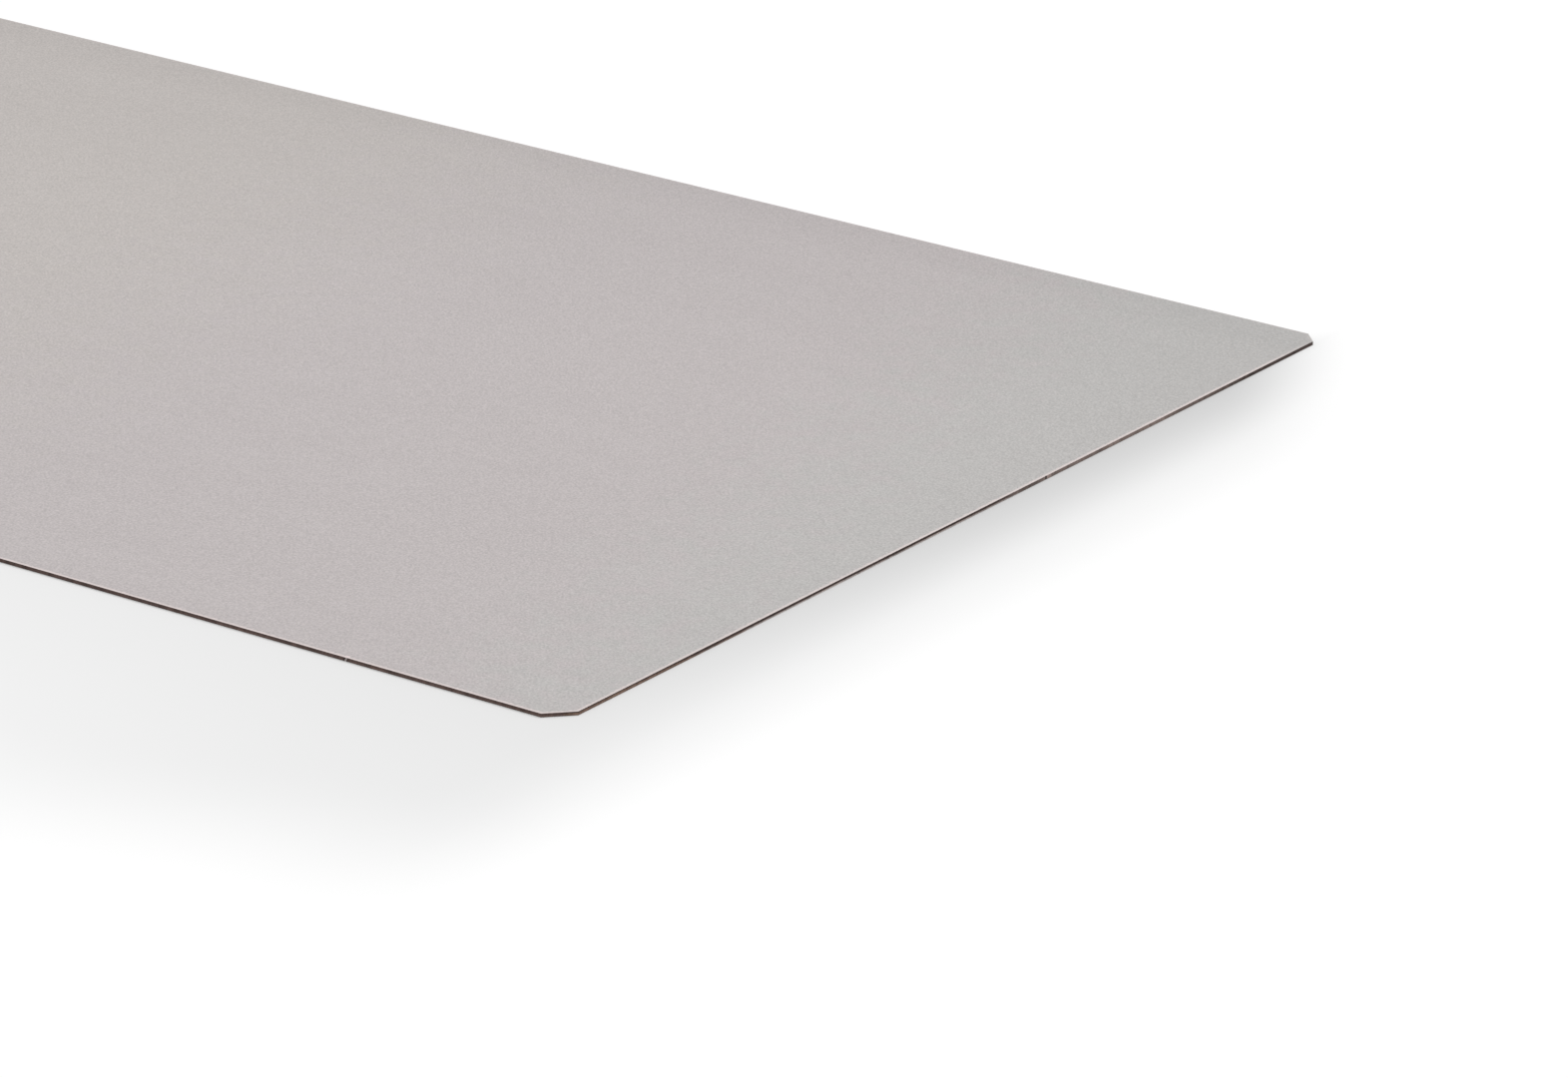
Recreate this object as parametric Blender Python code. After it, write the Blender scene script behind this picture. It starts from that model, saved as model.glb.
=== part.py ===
# A compact laminate sheet, lying flat with its decor face up.
# Light grey decor paper is pressed onto both sides of a dark brown core, so the whole sheet is one piece.
# Metres, +Z up, length along X, width along Y. The origin is the middle of the underside.

import bmesh
import bpy

# Sheet
SHEET_LENGTH = 3.05
SHEET_WIDTH = 1.3
SHEET_THICKNESS = 0.004

# Cut off each corner at 45 degrees, measured along the sheet's edges. One corner has a smaller cut:
# the one at +X and +Y
CORNER_CUT = 0.025
SMALL_CORNER_CUT = 0.017

# Sharp edge taken off all round both faces, also at 45 degrees
EDGE_ARRIS = 0.0003

# Linear colour and roughness of what shows
DECOR_COLOUR = (0.527, 0.497, 0.485, 1.0)
DECOR_ROUGHNESS = 0.55
CORE_COLOUR = (0.078, 0.048, 0.04, 1.0)
CORE_ROUGHNESS = 0.7

# Places of the materials on the mesh
DECOR = 0
CORE = 1

NODE_NAME = "laminate_panel"


def clear_scene():
    for found in list(bpy.data.objects):
        bpy.data.objects.remove(found, do_unlink=True)


def finish(name, colour, roughness):
    material = bpy.data.materials.new(name)
    material.use_nodes = True
    shader = material.node_tree.nodes["Principled BSDF"]
    shader.inputs["Base Color"].default_value = colour
    shader.inputs["Roughness"].default_value = roughness
    shader.inputs["Metallic"].default_value = 0.0
    return material


def height_of(item):
    levels = [corner.co.z for corner in item.verts]
    return max(levels) - min(levels)


def is_upright(edge):
    return height_of(edge) > SHEET_THICKNESS / 2


def at_small_cut(edge):
    place = edge.verts[0].co
    return place.x > 0 and place.y > 0


def chamfer(shape, edges, depth):
    bmesh.ops.bevel(
        shape,
        geom=edges,
        offset=depth,
        offset_type="OFFSET",
        affect="EDGES",
        segments=1,
        profile=0.5,
        material=-1,
    )


def sheet_mesh():
    shape = bmesh.new()
    bmesh.ops.create_cube(shape, size=1.0)
    bmesh.ops.scale(shape, vec=(SHEET_LENGTH, SHEET_WIDTH, SHEET_THICKNESS), verts=shape.verts)
    bmesh.ops.translate(shape, vec=(0, 0, SHEET_THICKNESS / 2), verts=shape.verts)

    # The four corners first, then the rim of each face, which so runs round the corner cuts too
    chamfer(shape, [edge for edge in shape.edges if is_upright(edge) and at_small_cut(edge)], SMALL_CORNER_CUT)
    chamfer(shape, [edge for edge in shape.edges if is_upright(edge) and not at_small_cut(edge)], CORNER_CUT)
    chamfer(shape, [edge for edge in shape.edges if not is_upright(edge)], EDGE_ARRIS)

    # The core shows only on the cut edges and their arrises
    for face in shape.faces:
        face.material_index = DECOR if height_of(face) < EDGE_ARRIS / 2 else CORE

    mesh = bpy.data.meshes.new(NODE_NAME)
    shape.to_mesh(mesh)
    shape.free()
    return mesh


def make_sheet(collection):
    mesh = sheet_mesh()
    mesh.materials.append(finish("light grey decor", DECOR_COLOUR, DECOR_ROUGHNESS))
    mesh.materials.append(finish("brown core edge", CORE_COLOUR, CORE_ROUGHNESS))
    sheet = bpy.data.objects.new(NODE_NAME, mesh)
    collection.objects.link(sheet)
    return sheet


def main():
    clear_scene()
    collection = bpy.data.collections.new("laminate panel")
    bpy.context.scene.collection.children.link(collection)
    make_sheet(collection)


main()
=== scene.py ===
import math

import bmesh
import bpy
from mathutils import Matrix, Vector, noise


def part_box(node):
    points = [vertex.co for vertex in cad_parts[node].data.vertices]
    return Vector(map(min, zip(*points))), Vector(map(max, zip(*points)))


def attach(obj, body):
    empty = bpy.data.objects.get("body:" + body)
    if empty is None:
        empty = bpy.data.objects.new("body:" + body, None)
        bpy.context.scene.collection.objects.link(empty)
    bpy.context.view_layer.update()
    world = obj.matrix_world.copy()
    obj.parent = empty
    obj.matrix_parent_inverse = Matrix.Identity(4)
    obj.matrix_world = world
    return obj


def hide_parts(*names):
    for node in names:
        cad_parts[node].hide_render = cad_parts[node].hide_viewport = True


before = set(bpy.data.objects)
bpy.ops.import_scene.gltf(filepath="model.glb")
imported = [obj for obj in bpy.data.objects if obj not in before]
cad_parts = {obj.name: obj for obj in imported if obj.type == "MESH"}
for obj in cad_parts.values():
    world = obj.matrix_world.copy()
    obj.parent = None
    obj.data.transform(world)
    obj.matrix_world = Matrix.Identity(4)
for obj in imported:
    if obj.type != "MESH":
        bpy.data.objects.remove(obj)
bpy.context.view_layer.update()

sheetNode = "laminate_panel"
sheetLow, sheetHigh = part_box(sheetNode)
sheetSize = sheetHigh - sheetLow
sheetMiddle = (sheetLow + sheetHigh) / 2
millimetre = 0.001
samePlace = 1e-7        # metres: points that are closer count as one


# The sheet: its two faces, its sawn edges and the four corners cut off it
sheetShape = {
    "cornerCut": 25 * millimetre,
    "smallCut": 17 * millimetre,        # the one at the right end's back corner
    "arris": 0.3 * millimetre,          # radius round both faces
    "arrisSteps": 3,
    "decorPaper": 0.08 * millimetre,    # how deep the light paper goes at each face
    "paleFrom": 0.3 * millimetre,       # the lighter plies, up from the back
    "paleTo": 1.9 * millimetre,
    "cellsAlong": 40,                   # cells of the faces, ten to each row of the sheet's map
    "cellsAcross": 20,
    "edgeCuts": 7,                      # more columns in each cell of a sawn edge
    "leastCell": 2 * millimetre,        # a rim edge no longer than this gets none
    "sawnFrom": 1.2,                    # where the saw marks begin, in arrises from each face
    "sawWander": 0.06 * millimetre,     # how far the plies lie back from the cut
    "sawWave": 14 * millimetre,         # how soon that changes along the edge
    "sawPlies": 8,                      # and how many times sooner from ply to ply
    "nickFromCorner": 260 * millimetre,  # the pale nick right down the front edge
    "nickWidth": 2.1 * millimetre,
    "nickDepth": 0.45 * millimetre,
    "nickLean": 0.45,                   # how far it leans to the right on its way up
    "chipFromCorner": 793 * millimetre,  # the dark chip in the right edge
    "chipWidth": 2.4 * millimetre,
    "chipDepth": 0.5 * millimetre,
    "cutsIn": 50 * millimetre,          # how far into the faces the cuts for both of them go
    "cutsAlong": 100 * millimetre,      # and how far along the edge
    "rimDepth": 1.5,                    # the points that are pushed in lie this near the edge, in arrises
}

# Each cut side as its outward direction and its distance from the middle
halfLength, halfWidth = sheetSize.x / 2, sheetSize.y / 2
cutSides = [(Vector((0, -1)), halfWidth), (Vector((1, 0)), halfLength)]
cutSides += [(Vector((0, 1)), halfWidth), (Vector((-1, 0)), halfLength)]
for x, y in ((-1, -1), (-1, 1), (1, -1), (1, 1)):
    cut = sheetShape["smallCut" if x > 0 and y > 0 else "cornerCut"]
    cutSides.append((Vector((x, y)).normalized(), (halfLength + halfWidth - cut) / math.sqrt(2)))


def sideOf(direction):
    flat = direction.xy
    return max(range(len(cutSides)), key=lambda side: flat.dot(cutSides[side][0]))


def backFromCut(point, side):
    outward, reach = cutSides[side]
    return reach - (point.xy - sheetMiddle.xy).dot(outward)


def heightOf(edge):
    return abs(edge.verts[0].co.z - edge.verts[1].co.z)


def upright(edge):
    return heightOf(edge) > sheetSize.z / 2


def atSmallCut(edge):
    place = edge.verts[0].co - sheetMiddle
    return place.x > 0 and place.y > 0


def inFlatFace(face):
    return abs(face.normal.z) > 0.999


def everything(shape):
    return shape.verts[:] + shape.edges[:] + shape.faces[:]


def cutAcross(shape, where, direction, geometry=None):
    bmesh.ops.bisect_plane(
        shape, geom=geometry or everything(shape), dist=samePlace, plane_co=where, plane_no=direction
    )


def softenEdges(shape, edges, size, steps):
    bmesh.ops.bevel(
        shape, geom=edges, offset=size, offset_type="OFFSET", affect="EDGES",
        segments=steps, profile=0.5, material=-1,
    )


def blankSheet(spec):
    # The corners come off before the arrises, which so run round the corner cuts too
    shape = bmesh.new()
    bmesh.ops.create_cube(shape, size=1.0)
    bmesh.ops.scale(shape, vec=sheetSize, verts=shape.verts)
    bmesh.ops.translate(shape, vec=sheetMiddle, verts=shape.verts)
    smallCorner = [edge for edge in shape.edges if upright(edge) and atSmallCut(edge)]
    softenEdges(shape, smallCorner, spec["smallCut"], 1)
    otherCorners = [edge for edge in shape.edges if upright(edge) and not atSmallCut(edge)]
    softenEdges(shape, otherCorners, spec["cornerCut"], 1)
    rims = [edge for edge in shape.edges if not upright(edge)]
    softenEdges(shape, rims, spec["arris"], spec["arrisSteps"])
    return shape


def layPlies(shape, spec):
    # The paper at each face, the edges of the lighter plies, and a line within each band
    middle = (spec["paleFrom"] + spec["paleTo"]) / 2
    upper = (spec["paleTo"] + sheetSize.z - spec["arris"]) / 2
    levels = [spec["decorPaper"], spec["paleFrom"], middle, spec["paleTo"], upper]
    for level in levels + [sheetSize.z - spec["decorPaper"]]:
        cutAcross(shape, (0, 0, sheetLow.z + level), (0, 0, 1))


def layCells(shape, spec):
    for step in range(1, spec["cellsAlong"]):
        cutAcross(shape, (sheetLow.x + sheetSize.x * step / spec["cellsAlong"], 0, 0), (1, 0, 0))
    for step in range(1, spec["cellsAcross"]):
        cutAcross(shape, (0, sheetLow.y + sheetSize.y * step / spec["cellsAcross"], 0), (0, 1, 0))
    level = [edge for edge in shape.edges if heightOf(edge) < samePlace]
    rim = [edge for edge in level if not all(inFlatFace(face) for face in edge.link_faces)]
    along = [edge for edge in rim if edge.calc_length() > spec["leastCell"]]
    bmesh.ops.subdivide_edges(shape, edges=along, cuts=spec["edgeCuts"], use_grid_fill=True)


def sawEdges(shape, spec):
    # Only the plies between the two arrises lie back, so the sheet keeps its full size
    clear = spec["arris"] * spec["sawnFrom"]
    for vert in shape.verts:
        if sheetLow.z + clear < vert.co.z < sheetHigh.z - clear:
            place = Vector((vert.co.x, vert.co.y, vert.co.z * spec["sawPlies"]))
            depth = spec["sawWander"] * (0.5 + 0.5 * noise.noise(place / spec["sawWave"]))
            outward, reach = cutSides[sideOf(vert.normal)]
            vert.co -= depth * outward.to_3d()


def chipEdge(shape, spec, corner, along, place, width, depth, lowest, lean):
    # Three cuts across the rim at that place, and the middle one is pushed in towards the sheet
    inward = Vector((0, 1, 0)) if along == 0 else Vector((-1, 0, 0))
    across = Vector((1, 0, 0)) if along == 0 else Vector((0, 1, 0))
    leaning = across - lean * Vector((0, 0, 1))
    middle = across * place + Vector((0, 0, sheetMiddle.z))
    onCut = 0.01 * millimetre
    for shift in (-0.5, 0, 0.5):
        parts = {}                      # a dictionary, to hold each once and in order
        for face in shape.faces:
            centre = face.calc_center_median()
            atEdge = abs((centre - corner).dot(inward)) < spec["cutsIn"]
            if atEdge and abs(centre[along] - place) < spec["cutsAlong"]:
                parts.update(dict.fromkeys([face, *face.edges, *face.verts]))
        cutAcross(shape, middle + across * shift * width, leaning, list(parts))
    for vert in shape.verts:
        atMiddle = abs((vert.co - middle).dot(leaning)) < onCut and vert.co.z > sheetLow.z + lowest
        if atMiddle and abs((vert.co - corner).dot(inward)) < spec["rimDepth"] * spec["arris"]:
            vert.co += inward * depth


def chipEdges(shape, spec):
    # The lowest points stay, so the sheet still meets the floor along its whole rim
    corner = Vector((sheetHigh.x, sheetLow.y, sheetLow.z))
    place, lowest = corner.x - spec["nickFromCorner"], spec["decorPaper"] / 2
    chipEdge(shape, spec, corner, 0, place, spec["nickWidth"], spec["nickDepth"], lowest, spec["nickLean"])
    place, lowest = corner.y + spec["chipFromCorner"], spec["paleFrom"] / 2
    chipEdge(shape, spec, corner, 1, place, spec["chipWidth"], spec["chipDepth"], lowest, 0.0)


def settleOrder(shape):
    # Blender's cuts list the faces in another order each run, so they are listed by place here
    inOrder = sorted(shape.faces, key=lambda face: face.calc_center_median()[:])
    for number, face in enumerate(inOrder):
        face.index = number
    shape.faces.sort()


frontSlot, coreSlot, backSlot = 0, 1, 2     # the materials' places on the mesh


def markFaces(shape, spec):
    for face in shape.faces:
        height = face.calc_center_median().z
        face.smooth = not inFlatFace(face)
        face.material_index = coreSlot
        if height > sheetHigh.z - spec["decorPaper"]:
            face.material_index = frontSlot
        if height < sheetLow.z + spec["decorPaper"]:
            face.material_index = backSlot


# The sheet's own map, from the top: its front face, its back face, then each cut side in rows
sheetMap = {
    "front": (0.436, 0.996),
    "back": (0.27, 0.428),
    "rowsTo": 0.262,
    "rowsOf": (4, 2, 4, 2),             # rows for the front, right, back and left side
    "margin": 0.004,
    "rowGap": 0.003,
    "cornerRoom": 1.02,                 # the corner cuts share the last row: how long each one's part is,
    "cornerSpan": 0.24,                 # in its own lengths and in the row's
}


def mapSheet(shape, spec, layout):
    rowsOf = layout["rowsOf"]
    rowCount = sum(rowsOf) + 1
    rowHeight = layout["rowsTo"] / rowCount
    cornerCount = len(cutSides) - len(rowsOf)
    width = 1 - 2 * layout["margin"]
    unrolled = sheetSize.z + 2 * spec["arris"]
    layer = shape.loops.layers.uv.new("OFBake")
    for face in shape.faces:
        if inFlatFace(face):
            low, high = layout["front"] if face.normal.z > 0 else layout["back"]
            for loop in face.loops:
                share = [(loop.vert.co[axis] - sheetLow[axis]) / sheetSize[axis] for axis in (0, 1)]
                loop[layer].uv = (layout["margin"] + width * share[0], low + (high - low) * share[1])
            continue
        side = sideOf(face.normal)
        outward = cutSides[side][0]
        along = Vector((-outward.y, outward.x))
        if side < len(rowsOf):
            length = sheetSize.x if side in (0, 2) else sheetSize.y
            piece = length / rowsOf[side]
            place = (face.calc_center_median() - sheetMiddle).xy.dot(along) + length / 2
            group = min(rowsOf[side] - 1, int(place / piece))
            start, row = group * piece - length / 2, sum(rowsOf[:side]) + group
            left, span = 0.0, 1.0
        else:
            piece = layout["cornerRoom"] * spec["cornerCut"] * math.sqrt(2)
            corner = Vector((math.copysign(halfLength, outward.x), math.copysign(halfWidth, outward.y)))
            start, row = corner.dot(along) - piece / 2, rowCount - 1
            left, span = (side - len(rowsOf)) / cornerCount, layout["cornerSpan"]
        for loop in face.loops:
            point = loop.vert.co
            run = ((point - sheetMiddle).xy.dot(along) - start) / piece
            rise = math.copysign(max(0.0, backFromCut(point, side)), point.z - sheetMiddle.z)
            climb = (point.z - sheetLow.z + rise + spec["arris"]) / unrolled
            across = layout["margin"] + width * (left + span * min(1, max(0, run)))
            inRow = layout["rowGap"] / 2 + (rowHeight - layout["rowGap"]) * min(1, max(0, climb))
            loop[layer].uv = (across, row * rowHeight + inRow)


# Small helpers for the materials' nodes
def feed(tree, value, socket):
    if isinstance(value, bpy.types.NodeSocket):
        tree.links.new(value, socket)
    else:
        socket.default_value = value


def calc(tree, operation, *values):
    node = tree.nodes.new("ShaderNodeMath")
    node.operation = operation
    for value, socket in zip(values, node.inputs):
        feed(tree, value, socket)
    return node.outputs[0]


def addUp(tree, total, *values):
    for value in values:
        total = calc(tree, "ADD", total, value)
    return total


def times(tree, product, *values):
    for value in values:
        product = calc(tree, "MULTIPLY", product, value)
    return product


def fade(tree, value, start, end, low=0.0, high=1.0):
    # Goes softly from low to high while the value goes from start to end
    node = tree.nodes.new("ShaderNodeMapRange")
    node.interpolation_type = "SMOOTHSTEP"
    sources = {"Value": value, "From Min": start, "From Max": end, "To Min": low, "To Max": high}
    for name, source in sources.items():
        feed(tree, source, node.inputs[name])
    return node.outputs["Result"]


def fadeOver(tree, distance, size, start, end, low, high):
    # The same, with start and end given in sizes of the mark
    return fade(tree, distance, start * size, end * size, low, high)


def mixColour(tree, amount, first, second):
    node = tree.nodes.new("ShaderNodeMix")
    node.data_type = "RGBA"
    feed(tree, amount, node.inputs["Factor"])
    for value, name in ((first, "A_Color"), (second, "B_Color")):
        socket = next(found for found in node.inputs if found.identifier == name)
        feed(tree, value if isinstance(value, bpy.types.NodeSocket) else (*value, 1.0), socket)
    return next(found for found in node.outputs if found.identifier == "Result_Color")


def brighten(tree, colour, amount):
    node = tree.nodes.new("ShaderNodeVectorMath")
    node.operation = "SCALE"
    feed(tree, colour, node.inputs[0])
    feed(tree, amount, node.inputs["Scale"])
    return node.outputs[0]


def places(tree):
    return tree.nodes.new("ShaderNodeTexCoord").outputs["Object"]


def axesOf(tree, where):
    node = tree.nodes.new("ShaderNodeSeparateXYZ")
    tree.links.new(where, node.inputs[0])
    return node.outputs


def stretched(tree, where, scale, shift=(0, 0, 0)):
    node = tree.nodes.new("ShaderNodeMapping")
    tree.links.new(where, node.inputs["Vector"])
    node.inputs["Scale"].default_value = scale
    node.inputs["Location"].default_value = shift
    return node.outputs[0]


def cloud(tree, where, size, detail=2.0, rough=0.5):
    node = tree.nodes.new("ShaderNodeTexNoise")
    tree.links.new(where, node.inputs["Vector"])
    node.inputs["Scale"].default_value = 1 / size
    node.inputs["Detail"].default_value = detail
    node.inputs["Roughness"].default_value = rough
    return node.outputs["Fac"]


def swing(tree, value, amount):
    # A cloud's 0 to 1 as a change of at most that amount, up or down
    return times(tree, calc(tree, "SUBTRACT", value, 0.5), 2 * amount)


def bumps(tree, height, depth):
    node = tree.nodes.new("ShaderNodeBump")
    tree.links.new(height, node.inputs["Height"])
    node.inputs["Distance"].default_value = depth
    node.inputs["Strength"].default_value = 1.0
    return node.outputs["Normal"]


def seenDirectly(tree):
    # 1 for the camera's view, reflections and glass, and 0 for the light that falls on the sheet
    rays = tree.nodes.new("ShaderNodeLightPath").outputs
    return addUp(tree, rays["Is Camera Ray"], rays["Is Glossy Ray"], rays["Is Transmission Ray"])


def newMaterial(name):
    material = bpy.data.materials.new(name)
    material.use_nodes = True
    tree = material.node_tree
    return material, tree, tree.nodes["Principled BSDF"]


def cutDistance(tree, where):
    # How far a point of a face is from the nearest cut side
    nearest = sheetSize.length
    for outward, reach in cutSides:
        facing = tree.nodes.new("ShaderNodeVectorMath")
        facing.operation = "DOT_PRODUCT"
        tree.links.new(where, facing.inputs[0])
        facing.inputs[1].default_value = outward.to_3d()
        inside = calc(tree, "SUBTRACT", reach + sheetMiddle.xy.dot(outward), facing.outputs["Value"])
        nearest = calc(tree, "MINIMUM", nearest, inside)
    return nearest


# The decor paper of both faces. Four numbers in a row are where a mark starts and ends, in its own
# size, and how strong it is at both.
frontLook = {
    "left": (0.486, 0.452, 0.434),      # the decor's tone towards the left end
    "middle": (0.483, 0.4445, 0.444),
    "right": (0.465, 0.452, 0.442),
    "leftTo": (1.35, 0.75),             # from the right end: where the left tone ends, the middle is full
    "rightFrom": (0.36, 0.03),          # where the middle tone ends, and the right one is full
    "rightSlant": 0.2,                  # how much further left both lie towards the back, to a metre
    "patchSize": 26 * millimetre,       # the tones meet in patches
    "patchReach": 0.22,
    "grainSize": 2.3 * millimetre,
    "grain": 0.335,
    "mottleSize": 9 * millimetre,
    "mottle": 0.035,
    "bankSize": 70 * millimetre,
    "bank": 0.012,
    "backShade": 0.055,                 # how much darker the face gets towards its back edge
    "backReach": 0.55,
    "backEdgeShade": 0.045,             # and how much more close beside it
    "backEdgeReach": 0.09,
    "specks": [                         # each from the right end and from the back edge
        (0.904, 0.096),
        (1.437, 0.151),
        (1.122, 0.384),
        (1.649, 0.174),
    ],
    "speckSize": 1.1 * millimetre,
    "speckColour": (0.20, 0.17, 0.16),
    "speck": (0.4, 1.0, 0.7, 0.0),
    "paintedRimHighlight": (0.695, 0.615, 0.600),    # a painted highlight where the cut rim's arris catches light
    "rimWidth": 4.4 * millimetre,
    "rim": (0.4, 1.0, 0.9, 0.0),
    "rimWander": 0.5,                   # how far the rim is ragged, in its own widths
    "rimWanderSize": 4 * millimetre,
    "backRim": 0.2,                     # how much of that rim the back edge has
    "backRimReach": (0.012, 0.12),      # from that edge: where the ends' rims are as faint, and full
    "chipColour": (0.78, 0.67, 0.66),   # the pale spot on the face above the nick
    "chipSize": 2.0,                    # in widths of the nick
    "chip": (0.4, 1.0, 0.8, 0.0),
    "roughness": 0.56,
    "grainRoughness": 0.04,
    "wipe": 0.10,                       # broad wiped patches are that much smoother, or rougher
    "wipeSize": 220 * millimetre,
    "wipeStretch": (1.0, 3.5, 1.0),
    "gloss": 0.30,
    "grainDepth": 0.012 * millimetre,
}
backLook = dict(frontLook, specks=[], backEdgeShade=0.0, backShade=0.0, bank=0.03, roughness=0.6)


def addSpot(tree, where, colour, spot, size, strength, spotColour):
    gap = tree.nodes.new("ShaderNodeVectorMath")
    gap.operation = "DISTANCE"
    tree.links.new(where, gap.inputs[0])
    gap.inputs[1].default_value = spot
    return mixColour(tree, fadeOver(tree, gap.outputs["Value"], size, *strength), colour, spotColour)


def decorTone(tree, look, where, axes):
    # Three tones along the sheet, which meet in patches
    patches = swing(tree, cloud(tree, where, look["patchSize"]), look["patchReach"])
    fromRight = addUp(tree, sheetHigh.x, times(tree, axes[0], -1.0), patches)
    colour = mixColour(tree, fade(tree, fromRight, *look["leftTo"]), look["left"], look["middle"])
    slanting = calc(tree, "SUBTRACT", fromRight, times(tree, axes[1], look["rightSlant"]))
    return mixColour(tree, fade(tree, slanting, *look["rightFrom"]), colour, look["right"])


def decorMaterial(name, look, spec):
    material, tree, shader = newMaterial(name)
    where = places(tree)
    axes = axesOf(tree, where)
    grain = cloud(tree, where, look["grainSize"], detail=1.0)
    mottle = cloud(tree, where, look["mottleSize"])
    bank = cloud(tree, where, look["bankSize"])
    light = addUp(tree, 1.0, swing(tree, grain, look["grain"]), swing(tree, mottle, look["mottle"]))
    light = addUp(tree, light, swing(tree, bank, look["bank"]))
    fromBack = calc(tree, "SUBTRACT", sheetHigh.y, axes[1])
    edgeShade = fade(tree, fromBack, 0.0, look["backEdgeReach"], 1 - look["backEdgeShade"], 1.0)
    farShade = fade(tree, fromBack, 0.0, look["backReach"], 1 - look["backShade"], 1.0)
    shade = times(tree, edgeShade, farShade)
    colour = brighten(tree, decorTone(tree, look, where, axes), times(tree, light, shade))
    for fromRightEnd, fromBackEdge in look["specks"]:
        spot = (sheetHigh.x - fromRightEnd, sheetHigh.y - fromBackEdge, sheetHigh.z)
        colour = addSpot(tree, where, colour, spot, look["speckSize"], look["speck"], look["speckColour"])
    # The rim gets a painted highlight where its arris catches light, hardly any along the back edge
    wander = swing(tree, cloud(tree, where, look["rimWanderSize"]), look["rimWander"] * look["rimWidth"])
    ragged = calc(tree, "ADD", cutDistance(tree, where), wander)
    paintedRimHighlight = fadeOver(tree, ragged, look["rimWidth"], *look["rim"])
    alongBack = fade(tree, fromBack, *look["backRimReach"], look["backRim"], 1.0)
    colour = mixColour(tree, times(tree, paintedRimHighlight, alongBack), colour, look["paintedRimHighlight"])
    nick = (sheetHigh.x - spec["nickFromCorner"], sheetLow.y + spec["nickWidth"], sheetHigh.z)
    chipSize = look["chipSize"] * spec["nickWidth"]
    colour = addSpot(tree, where, colour, nick, chipSize, look["chip"], look["chipColour"])
    tree.links.new(colour, shader.inputs["Base Color"])
    wiped = cloud(tree, stretched(tree, where, look["wipeStretch"]), look["wipeSize"], detail=3.0)
    rough = addUp(tree, look["roughness"], swing(tree, wiped, look["wipe"]))
    rough = addUp(tree, rough, swing(tree, grain, look["grainRoughness"]))
    tree.links.new(rough, shader.inputs["Roughness"])
    shader.inputs["Specular IOR Level"].default_value = look["gloss"]
    tree.links.new(bumps(tree, addUp(tree, grain, mottle), look["grainDepth"]), shader.inputs["Normal"])
    return material


# The brown core that the sawn edges show. Four numbers in a row are where a tone starts and ends in
# the streaks' cloud, or in widths of the nick or chip, and how strong it is at both.
coreLook = {
    "dark": (0.152, 0.105, 0.093),
    "darkest": (0.100, 0.062, 0.055),
    "darkStreaks": (0.35, 0.7),         # where the streaks turn from the darkest tone to the dark one
    "pale": (0.178, 0.118, 0.101),      # the lighter plies
    "paleStreaks": (0.5, 1.3, 0.45, 1.0),
    "plyBlur": 0.3 * millimetre,        # how softly those plies begin and end
    "paleTo": (0.44, 0.54),             # from the right end: where they fade along the front edge
    "paleRest": 0.4,                    # and how much of them goes on
    "rightDepth": 10 * millimetre,      # how far from the right end counts as the right edge
    "rightShade": 0.46,                 # how bright its plies are beside the others
    "worn": (0.265, 0.203, 0.184),      # the far part of the right edge, lighter all through
    "wornTo": (0.66, 0.84, 0.97, 1.17),  # from the front corner: where it begins, is full, fades and ends
    "wornStreaks": (0.2, 0.6, 0.55, 1.0),
    "tan": (0.240, 0.152, 0.114),       # its lower plies near the front corner
    "chalk": (0.620, 0.530, 0.500),     # and its lowest ones further along
    "tanHeight": 2.8 * millimetre,
    "chalkHeight": 1.3 * millimetre,
    "tanBlur": 0.45 * millimetre,
    "tanFalls": (0.09, 0.25),           # from the front corner: where the tan gets lower
    "tanTo": (0.21, 0.36),              # where it turns to chalk
    "chalkTo": (0.64, 0.78),            # and where that ends
    "tanStreaks": (0.2, 0.6, 0.6, 1.0),
    "ragged": 30 * millimetre,          # how far these places wander
    "paper": (0.66, 0.56, 0.55),        # the fresh paper in the nick
    "nickPaper": (0.35, 0.6, 0.9, 0.0),
    "nickFlanks": (1.0, 1.8, 0.5, 0.0),  # how much darker it is on both sides
    "chipDark": (0.4, 1.0, 0.6, 0.0),
    "scuff": 0.6,                       # how much lighter the stretch just behind the chip is
    "scuffPlace": 6 * millimetre,
    "scuffReach": (2 * millimetre, 5 * millimetre),
    "wander": 0.35 * millimetre,        # how far the plies wander up and down
    "wanderSize": 80 * millimetre,
    "strata": 0.25 * millimetre,
    "streakLength": 30 * millimetre,
    "streakShift": (7, 3, 5),           # which part of their cloud is used
    "patchSize": 45 * millimetre,
    "patchEnds": (0.35, 0.65),
    "toothGap": 1.4 * millimetre,       # upright marks of the saw's teeth
    "toothStretch": (1, 1, 0.1),
    "tooth": 0.35,
    "blotchSize": 9 * millimetre,
    "blotchStretch": (1, 1, 0.2),
    "blotch": 0.75,
    "roughness": 0.66,
    "streakRoughness": 0.12,
    "gloss": 0.20,
    "grainDepth": 0.03 * millimetre,
}


def plyTone(tree, look, spec, height, fromRight, streaks, patches):
    # Dark plies, with a band of lighter ones below that fades along the front edge
    blur = look["plyBlur"]
    above = fade(tree, height, spec["paleFrom"] - blur, spec["paleFrom"] + blur)
    below = fade(tree, height, spec["paleTo"] - blur, spec["paleTo"] + blur, 1.0, 0.0)
    inStreaks = fade(tree, addUp(tree, streaks, patches), *look["paleStreaks"])
    palePart = times(tree, times(tree, above, below), inStreaks)
    palePart = times(tree, palePart, fade(tree, fromRight, *look["paleTo"], 1.0, look["paleRest"]))
    colour = mixColour(tree, fade(tree, streaks, *look["darkStreaks"]), look["darkest"], look["dark"])
    return mixColour(tree, palePart, colour, look["pale"])


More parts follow.
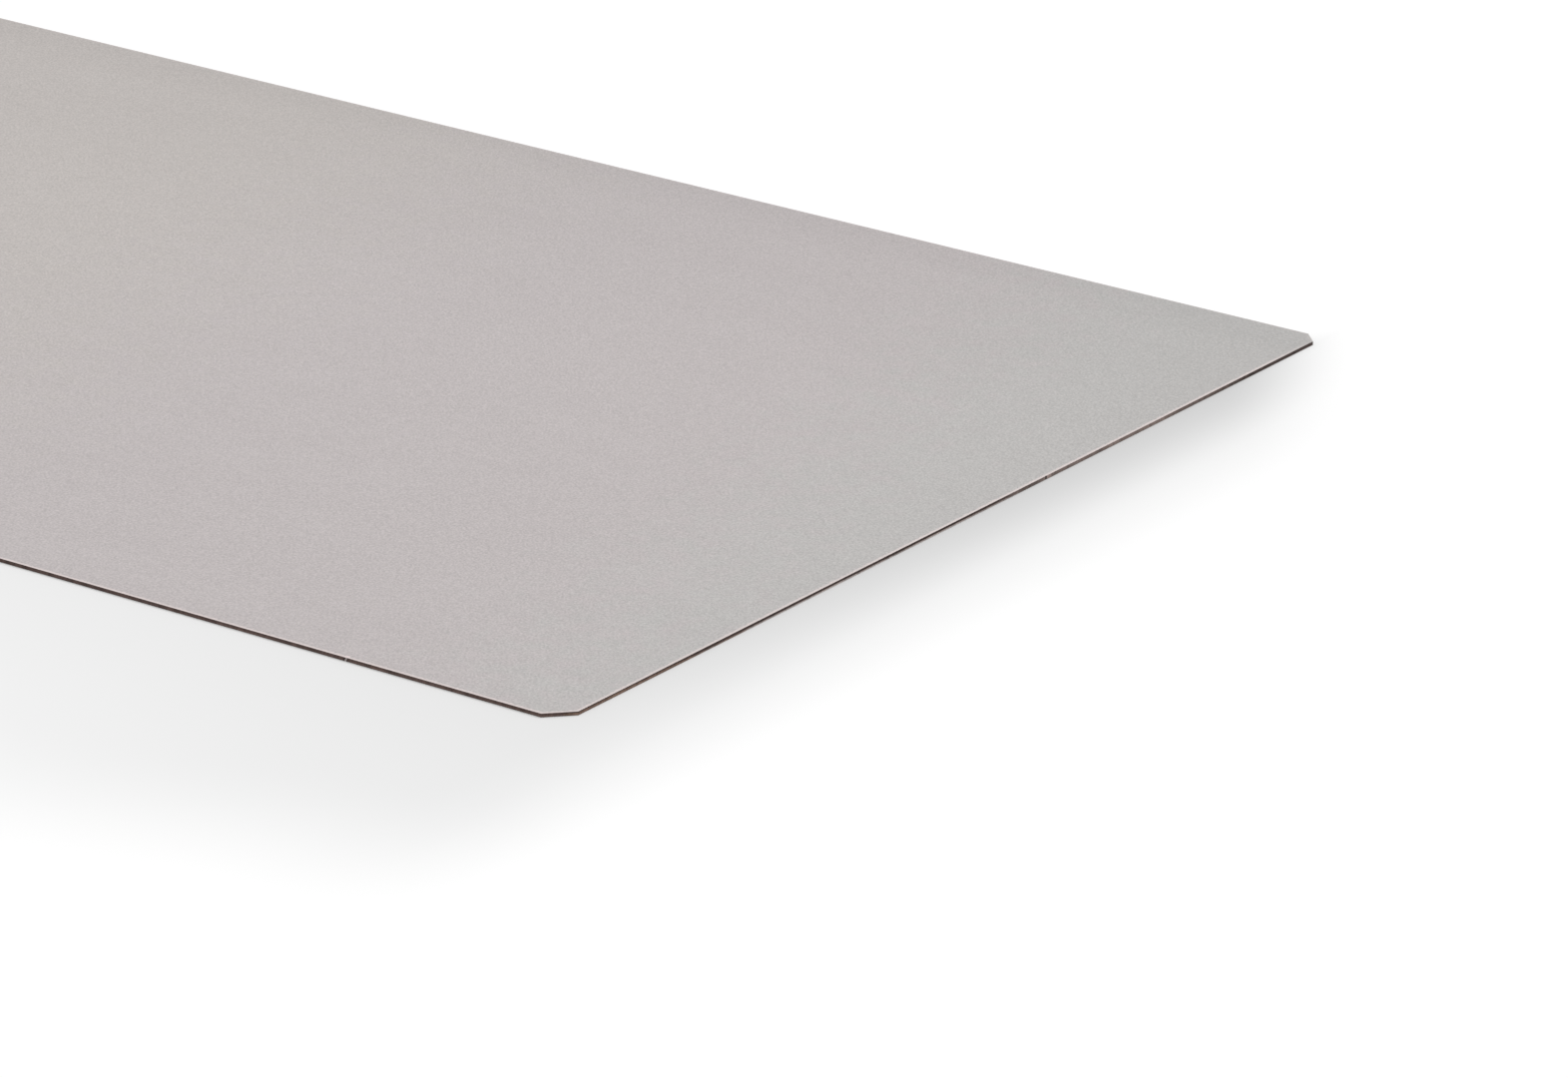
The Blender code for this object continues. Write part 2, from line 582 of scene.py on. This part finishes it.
def rightEdgeTone(tree, look, colour, height, alongEdge, onRight, streaks):
    # Darker, and worn lighter further along, with tan lower plies near the front corner that turn to chalk
    colour = brighten(tree, colour, fade(tree, onRight, 0.0, 1.0, 1.0, look["rightShade"]))
    begins, full, fades, ends = look["wornTo"]
    worn = times(tree, fade(tree, alongEdge, begins, full), fade(tree, alongEdge, ends, fades), onRight)
    worn = times(tree, worn, fade(tree, streaks, *look["wornStreaks"]))
    colour = mixColour(tree, worn, colour, look["worn"])
    top = fade(tree, alongEdge, *look["tanFalls"], look["tanHeight"], look["chalkHeight"])
    lower = fade(tree, calc(tree, "SUBTRACT", height, top), -look["tanBlur"], look["tanBlur"], 1.0, 0.0)
    reach = times(tree, fade(tree, alongEdge, *look["chalkTo"], 1.0, 0.0), onRight)
    tanPart = times(tree, reach, lower, fade(tree, streaks, *look["tanStreaks"]))
    tanTone = mixColour(tree, fade(tree, alongEdge, *look["tanTo"]), look["tan"], look["chalk"])
    return mixColour(tree, tanPart, colour, tanTone)


def edgeMarks(tree, look, spec, colour, axes, fromRight, onRight):
    # A light stretch lies behind the chip. The nick shows fresh paper between two dark flanks, and the
    # chip itself is dark.
    behindChip = calc(tree, "SUBTRACT", axes[1], sheetLow.y + spec["chipFromCorner"])
    fromChip = calc(tree, "ABSOLUTE", behindChip)
    fromScuff = calc(tree, "ABSOLUTE", calc(tree, "SUBTRACT", behindChip, look["scuffPlace"]))
    scuff = times(tree, fade(tree, fromScuff, *look["scuffReach"], look["scuff"], 0.0), onRight)
    colour = brighten(tree, colour, calc(tree, "ADD", scuff, 1.0))
    leaning = times(tree, calc(tree, "SUBTRACT", axes[2], sheetMiddle.z), spec["nickLean"])
    fromNick = calc(tree, "ABSOLUTE", addUp(tree, fromRight, -spec["nickFromCorner"], leaning))
    onFront = calc(tree, "LESS_THAN", axes[1], sheetLow.y + spec["cornerCut"])
    flanks = times(tree, fadeOver(tree, fromNick, spec["nickWidth"], *look["nickFlanks"]), onFront)
    chip = times(tree, fadeOver(tree, fromChip, spec["chipWidth"], *look["chipDark"]), onRight)
    darkened = calc(tree, "MAXIMUM", flanks, chip)
    colour = brighten(tree, colour, calc(tree, "SUBTRACT", 1.0, darkened))
    nick = times(tree, fadeOver(tree, fromNick, spec["nickWidth"], *look["nickPaper"]), onFront)
    return mixColour(tree, nick, colour, look["paper"])


def coreMaterial(name, look, spec):
    material, tree, shader = newMaterial(name)
    where = places(tree)
    axes = axesOf(tree, where)
    wander = swing(tree, cloud(tree, stretched(tree, where, (1, 1, 0)), look["wanderSize"]), look["wander"])
    height = calc(tree, "ADD", calc(tree, "SUBTRACT", axes[2], sheetLow.z), wander)
    flow = 1 / look["streakLength"]
    flowing = stretched(tree, where, (flow, flow, 1 / look["strata"]), look["streakShift"])
    streaks = cloud(tree, flowing, 1.0, detail=3.0, rough=0.6)
    clumps = cloud(tree, stretched(tree, where, (1, 1, 3)), look["patchSize"])
    patches = fade(tree, clumps, *look["patchEnds"])
    fromRight = calc(tree, "SUBTRACT", sheetHigh.x, axes[0])
    onRight = calc(tree, "LESS_THAN", fromRight, look["rightDepth"])
    alongEdge = addUp(tree, axes[1], -sheetLow.y, swing(tree, patches, look["ragged"]))
    colour = plyTone(tree, look, spec, height, fromRight, streaks, patches)
    colour = rightEdgeTone(tree, look, colour, height, alongEdge, onRight, streaks)
    colour = edgeMarks(tree, look, spec, colour, axes, fromRight, onRight)
    teeth = cloud(tree, stretched(tree, where, look["toothStretch"]), look["toothGap"], rough=0.7)
    blotches = cloud(tree, stretched(tree, where, look["blotchStretch"]), look["blotchSize"], rough=0.6)
    light = addUp(tree, 1.0, swing(tree, teeth, look["tooth"]), swing(tree, blotches, look["blotch"]))
    tree.links.new(brighten(tree, colour, light), shader.inputs["Base Color"])
    rough = addUp(tree, look["roughness"], swing(tree, streaks, look["streakRoughness"]))
    tree.links.new(rough, shader.inputs["Roughness"])
    shader.inputs["Specular IOR Level"].default_value = look["gloss"]
    tree.links.new(bumps(tree, addUp(tree, streaks, teeth), look["grainDepth"]), shader.inputs["Normal"])
    return material


def makeSheet():
    shape = blankSheet(sheetShape)
    layPlies(shape, sheetShape)
    layCells(shape, sheetShape)
    chipEdges(shape, sheetShape)
    shape.normal_update()
    sawEdges(shape, sheetShape)
    shape.normal_update()
    settleOrder(shape)
    markFaces(shape, sheetShape)
    mapSheet(shape, sheetShape, sheetMap)
    mesh = bpy.data.meshes.new("laminate_sheet")
    shape.to_mesh(mesh)
    openEdges = sum(len(edge.link_faces) != 2 for edge in shape.edges)
    print("sheet:", len(shape.faces), "faces, open edges", openEdges)
    shape.free()
    # In the order of the materials' places
    mesh.materials.append(decorMaterial("light grey decor", frontLook, sheetShape))
    mesh.materials.append(coreMaterial("brown pressed core", coreLook, sheetShape))
    mesh.materials.append(decorMaterial("light grey decor of the back", backLook, sheetShape))
    sheet = bpy.data.objects.new("laminate_sheet", mesh)
    bpy.context.scene.collection.objects.link(sheet)
    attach(sheet, "root")
    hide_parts(sheetNode)


makeSheet()


# The floor that the sheet lies on
floorLook = {
    "halfSize": 90.0,
    "drop": 0.02 * millimetre,
    "white": (0.80, 0.80, 0.80),
    "lift": 0.222,                      # added white that only the camera and reflections see
    "shade": (0.098, 0.135),            # the broad soft shade, at the sheet's middle and beside its ends
    "shadeRise": (-0.74, 0.035),        # from the ends: where it starts to rise, and is full
    "shadeInFront": (0.625, 0.28),      # where it begins and is full, from the front edge
    "shadeRound": (-0.375, 0.035),      # from the ends: where its front line turns in
    "shadeTurn": 0.10,                  # and by how much
    "shadeBeside": (0.212, 0.055),      # where it begins and is full, from the two ends
    "deepShade": 0.216,                 # the deeper part in front and close beside the ends
    "deepShadeReach": 0.11,
    "deepShadeAlong": (-0.633, 1.0),    # from the front edge: where it begins and is full
    "shadeBehind": (0.08, -0.195),      # from the back edge: where all of it ends, and is full
    "shadeSlant": 1.25,                 # how much sooner it ends away from the two ends' lines
    "slantReach": 0.25,
}


def floorShade(tree, look):
    # Darkest close beside the two ends, and gone within two thirds of a metre of the sheet
    axes = axesOf(tree, places(tree))
    inFront = calc(tree, "MAXIMUM", calc(tree, "SUBTRACT", sheetLow.y, axes[1]), 0.0)
    fromMiddle = calc(tree, "ABSOLUTE", calc(tree, "SUBTRACT", axes[0], sheetMiddle.x))
    beside = calc(tree, "SUBTRACT", fromMiddle, halfLength)
    aside = calc(tree, "MINIMUM", calc(tree, "ABSOLUTE", beside), look["slantReach"])
    behind = addUp(tree, axes[1], -sheetHigh.y, times(tree, aside, look["shadeSlant"]))
    reach = calc(tree, "ADD", inFront, fade(tree, beside, *look["shadeRound"], 0.0, look["shadeTurn"]))
    broad = times(tree, fade(tree, reach, *look["shadeInFront"]), fade(tree, beside, *look["shadeBeside"]))
    broad = times(tree, broad, fade(tree, beside, *look["shadeRise"], *look["shade"]))
    begins, full = [sheetLow.y + place for place in look["deepShadeAlong"]]
    deep = fade(tree, beside, look["deepShadeReach"], 0.0, 0.0, look["deepShade"])
    deep = times(tree, fade(tree, axes[1], begins, full), deep)
    return times(tree, addUp(tree, broad, deep), fade(tree, behind, *look["shadeBehind"]))


def makeFloor(look):
    shape = bmesh.new()
    bmesh.ops.create_grid(shape, x_segments=1, y_segments=1, size=look["halfSize"])
    bmesh.ops.translate(shape, vec=(0, 0, sheetLow.z - look["drop"]), verts=shape.verts)
    mesh = bpy.data.meshes.new("studio_floor")
    shape.to_mesh(mesh)
    shape.free()
    material, tree, shader = newMaterial("white floor")
    openFloor = calc(tree, "SUBTRACT", 1.0, floorShade(tree, look))
    tree.links.new(brighten(tree, look["white"], openFloor), shader.inputs["Base Color"])
    shader.inputs["Roughness"].default_value = 1.0
    shader.inputs["Specular IOR Level"].default_value = 0.0
    shader.inputs["Emission Color"].default_value = (1, 1, 1, 1)
    lift = times(tree, seenDirectly(tree), look["lift"], openFloor)
    tree.links.new(lift, shader.inputs["Emission Strength"])
    mesh.materials.append(material)
    floor = bpy.data.objects.new("studio_floor", mesh)
    bpy.context.scene.collection.objects.link(floor)


makeFloor(floorLook)
print("floor: done")


# Even soft light from above, and white all round for the camera
lightRig = {
    "around": 0.46,
    "skyTurn": 20.0,                    # degrees to the right of straight ahead
    "skyHeight": 66.0,
    "skyStrength": 1.86,
    "skySoftness": 60.0,
}


def makeLight(rig):
    world = bpy.data.worlds.new("white studio")
    bpy.context.scene.world = world
    world.use_nodes = True
    tree = world.node_tree
    tree.nodes.clear()
    background = tree.nodes.new("ShaderNodeBackground")
    background.inputs["Color"].default_value = (1, 1, 1, 1)
    white = calc(tree, "MINIMUM", seenDirectly(tree), 1.0)
    tree.links.new(calc(tree, "MAXIMUM", white, rig["around"]), background.inputs["Strength"])
    output = tree.nodes.new("ShaderNodeOutputWorld")
    tree.links.new(background.outputs[0], output.inputs["Surface"])
    lamp = bpy.data.lights.new("soft_sky", "SUN")
    lamp.energy = rig["skyStrength"]
    lamp.angle = math.radians(rig["skySoftness"])
    sky = bpy.data.objects.new("soft_sky", lamp)
    turn, rise = math.radians(rig["skyTurn"]), math.radians(rig["skyHeight"])
    towards = Vector((math.sin(turn) * math.cos(rise), math.cos(turn) * math.cos(rise), math.sin(rise)))
    sky.rotation_mode = "QUATERNION"
    sky.rotation_quaternion = towards.to_track_quat("Z", "Y")
    bpy.context.scene.collection.objects.link(sky)


makeLight(lightRig)
print("light: done")


# The camera, fitted to the sheet's edges in a picture 1571 pixels wide
cameraFit = {
    "pictureWidth": 1571,
    "focalPixels": 8674.9,
    "sensor": 36.0,
    "azimuth": 36.36,
    "elevation": 21.31,
    "away": 8.523,
    "aim": (-0.1078, 0.4963, 0.00037),  # from the front right corner of the face, in metres
    "sees": (0.1, 300.0),               # from how near to how far
}


def makeCamera(fit):
    data = bpy.data.cameras.new("studio_camera")
    data.sensor_width = fit["sensor"]
    data.lens = fit["focalPixels"] * fit["sensor"] / fit["pictureWidth"]
    data.clip_start, data.clip_end = fit["sees"]
    camera = bpy.data.objects.new("studio_camera", data)
    turn, rise = math.radians(fit["azimuth"]), math.radians(fit["elevation"])
    back = Vector((math.sin(turn) * math.cos(rise), -math.cos(turn) * math.cos(rise), math.sin(rise)))
    target = Vector((sheetHigh.x, sheetLow.y, sheetHigh.z)) + Vector(fit["aim"])
    camera.location = target + back * fit["away"]
    camera.rotation_mode = "QUATERNION"
    camera.rotation_quaternion = back.to_track_quat("Z", "Y")
    bpy.context.scene.collection.objects.link(camera)
    bpy.context.scene.camera = camera


makeCamera(cameraFit)
bpy.context.scene.view_settings.view_transform = "Standard"
print("camera: done")

bpy.context.view_layer.update()
